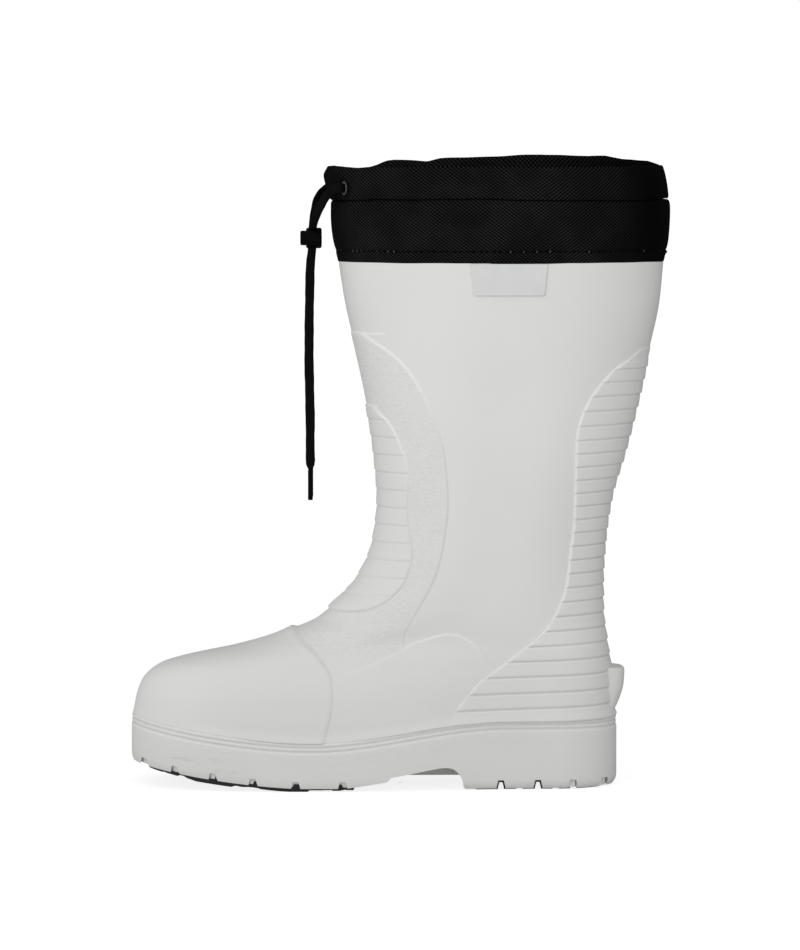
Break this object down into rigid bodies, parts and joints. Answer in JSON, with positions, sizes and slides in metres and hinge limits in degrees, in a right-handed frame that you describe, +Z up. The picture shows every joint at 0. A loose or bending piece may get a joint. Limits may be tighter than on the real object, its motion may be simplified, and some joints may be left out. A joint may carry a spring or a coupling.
{
  "type": "winter boot",
  "caption": "Tall winter boot moulded in one piece with its sole, ribbed at heel and instep, with a gathered fabric cuff, drawcord and barrel lock.",
  "frame": {"origin": "on the floor, in the middle of the boot's own box, which leaves out the hanging drawcord", "axes": "+X towards the toe, +Y towards the outer side of this left boot, +Z up"},
  "size_m": [0.3368, 0.134, 0.3937],
  "materials": {
    "foam": "matt moulded foam with a fine leather-like grain on the front panel",
    "tread_rubber": "matt",
    "insole_felt": "felted",
    "cuff_fabric": "plain weave of thick yarn",
    "label": "satin",
    "eyelet_metal": "dark satin",
    "cord": "braided",
    "lock_plastic": "gloss"
  },
  "bodies": {
    "root": {"upper_and_sole": "foam", "outsole_forefoot": "tread_rubber", "outsole_heel": "tread_rubber", "insole": "insole_felt", "cuff_band": "cuff_fabric", "drawcord_casing": "cuff_fabric", "side_label": "label", "eyelet_outer": "eyelet_metal", "eyelet_inner": "eyelet_metal", "drawcord_outer": "cord", "drawcord_inner": "cord", "aglet_outer": "lock_plastic", "aglet_inner": "lock_plastic", "cord_lock_barrel": "lock_plastic", "cord_lock_button": "lock_plastic"}
  },
  "joints": []
}
